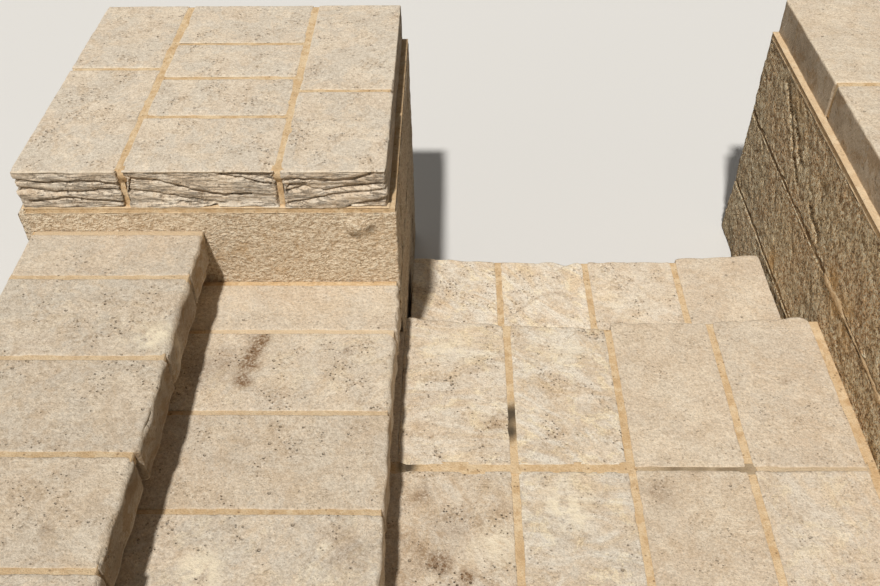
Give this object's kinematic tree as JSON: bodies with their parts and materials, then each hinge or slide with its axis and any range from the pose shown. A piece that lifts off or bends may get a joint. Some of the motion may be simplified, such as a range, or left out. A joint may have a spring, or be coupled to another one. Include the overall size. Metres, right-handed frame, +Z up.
{
  "type": "outdoor stone steps",
  "caption": "Garden steps of pale limestone slabs that turn a corner at a landing, with a capped square pier and coped retaining walls.",
  "frame": {"origin": "where the centre lines of the two flights cross, at the lowest ground level", "axes": "+Z up, +Y the way the lower flight goes down, +X the way the upper flight goes down"},
  "size_m": [2.122, 2.406, 0.794],
  "materials": {
    "pale_stone": "worn, lightly pitted limestone",
    "rough_stone": "rough, pitted limestone",
    "ochre_mortar": "sandy mortar",
    "heart_masonry": "rough masonry, mostly covered"
  },
  "bodies": {
    "root": {"top_tread_slabs": "pale_stone", "top_tread_mortar": "ochre_mortar", "top_riser_stones": "rough_stone", "top_step_core": "heart_masonry", "middle_tread_slabs": "pale_stone", "middle_tread_mortar": "ochre_mortar", "middle_riser_stones": "rough_stone", "middle_step_core": "heart_masonry", "rear_wall_stones": "rough_stone", "rear_wall_mortar": "ochre_mortar", "landing_slabs": "pale_stone", "landing_mortar": "ochre_mortar", "landing_riser_stones": "rough_stone", "landing_core": "heart_masonry", "lower_tread_slabs": "pale_stone", "lower_tread_mortar": "ochre_mortar", "lower_riser_stones": "rough_stone", "lower_step_core": "heart_masonry", "pier_low_course": "rough_stone", "pier_middle_course": "rough_stone", "pier_top_course": "rough_stone", "pier_core": "heart_masonry", "pier_mortar": "ochre_mortar", "cap_right_slabs": "pale_stone", "cap_middle_slabs": "pale_stone", "cap_left_slabs": "pale_stone", "cap_mortar": "ochre_mortar", "right_wall_low_course": "rough_stone", "right_wall_middle_course": "rough_stone", "right_wall_top_course": "rough_stone", "right_wall_mortar": "ochre_mortar", "right_coping_stones": "pale_stone", "right_coping_mortar": "ochre_mortar", "near_wall_low_course": "rough_stone", "near_wall_middle_course": "rough_stone", "near_wall_top_course": "rough_stone", "near_wall_mortar": "ochre_mortar", "near_coping_stones": "pale_stone", "near_coping_mortar": "ochre_mortar"}
  },
  "joints": []
}
